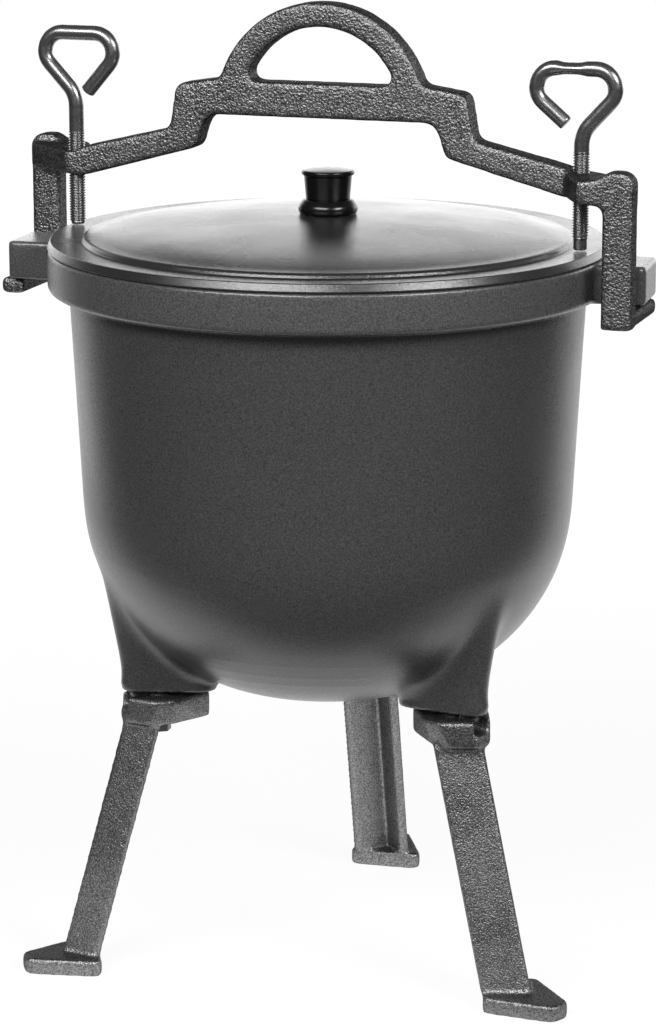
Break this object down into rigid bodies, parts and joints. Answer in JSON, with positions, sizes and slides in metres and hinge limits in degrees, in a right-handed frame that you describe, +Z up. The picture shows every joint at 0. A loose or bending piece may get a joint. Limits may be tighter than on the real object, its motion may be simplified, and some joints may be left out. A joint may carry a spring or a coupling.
{
  "type": "cauldron with clamped lid",
  "caption": "Round cast-iron cauldron on bolted splayed legs, with a lift-off lid held down by a turn-to-lock yoke with an arch handle and loop-headed clamp screws",
  "frame": {"origin": "on the floor under the centre of the whole part's box", "axes": "+Z up, the two ears lie along X and the rear leg points along +Y, with the yoke turned 4 degrees short of its stop"},
  "size_m": [0.3153, 0.285, 0.4626],
  "materials": {
    "cast_pot": "fine sand-cast, oiled, dark grey",
    "cast_lid": "fine sand-cast, satin, dark grey",
    "cast_yoke": "coarse sand-cast, grey",
    "cast_leg": "coarse sand-cast, grey",
    "rod_steel": "hot-bent dark steel rod",
    "fastener_steel": "plain steel",
    "black_moulding": "glossy black thermoset",
    "brass": "turned brass"
  },
  "bodies": {
    "pot": {"pot": "cast_pot", "left_leg": "cast_leg", "right_leg": "cast_leg", "rear_leg": "cast_leg", "left_leg_bolt": "fastener_steel", "right_leg_bolt": "fastener_steel", "rear_leg_bolt": "fastener_steel", "left_leg_washer": "fastener_steel", "right_leg_washer": "fastener_steel", "rear_leg_washer": "fastener_steel"},
    "yoke": {"yoke": "cast_yoke"},
    "lid": {"lid": "cast_lid", "knob": "black_moulding", "knob_collar": "black_moulding", "knob_insert": "brass", "knob_screw": "fastener_steel", "knob_washer": "fastener_steel"},
    "left_screw": {"left_clamp_screw": "rod_steel"},
    "right_screw": {"right_clamp_screw": "rod_steel"}
  },
  "joints": [
    {"name": "yoke_turn", "type": "hinge", "parent": "pot", "child": "yoke", "pos_m": [0, -0.01, 0.35], "axis": [0, 0, 1], "range_deg": [-146, 4]},
    {"name": "lid_lift", "type": "slide", "parent": "yoke", "child": "lid", "axis": [0, 0, 1], "range_m": [0, 0.0153]},
    {"name": "left_screw_turn", "type": "hinge", "parent": "lid", "child": "left_screw", "pos_m": [-0.12699, -0.00112, 0.37], "axis": [0, 0, 1], "range_deg": [0, 4410]},
    {"name": "right_screw_turn", "type": "hinge", "parent": "lid", "child": "right_screw", "pos_m": [0.1224, -0.01856, 0.37], "axis": [0, 0, 1], "range_deg": [0, 4410]}
  ],
  "couplings": [
    {"joint": "left_screw_turn", "follows": "lid_lift", "rad_per_m": 5026.5},
    {"joint": "right_screw_turn", "follows": "lid_lift", "rad_per_m": 5026.5}
  ]
}
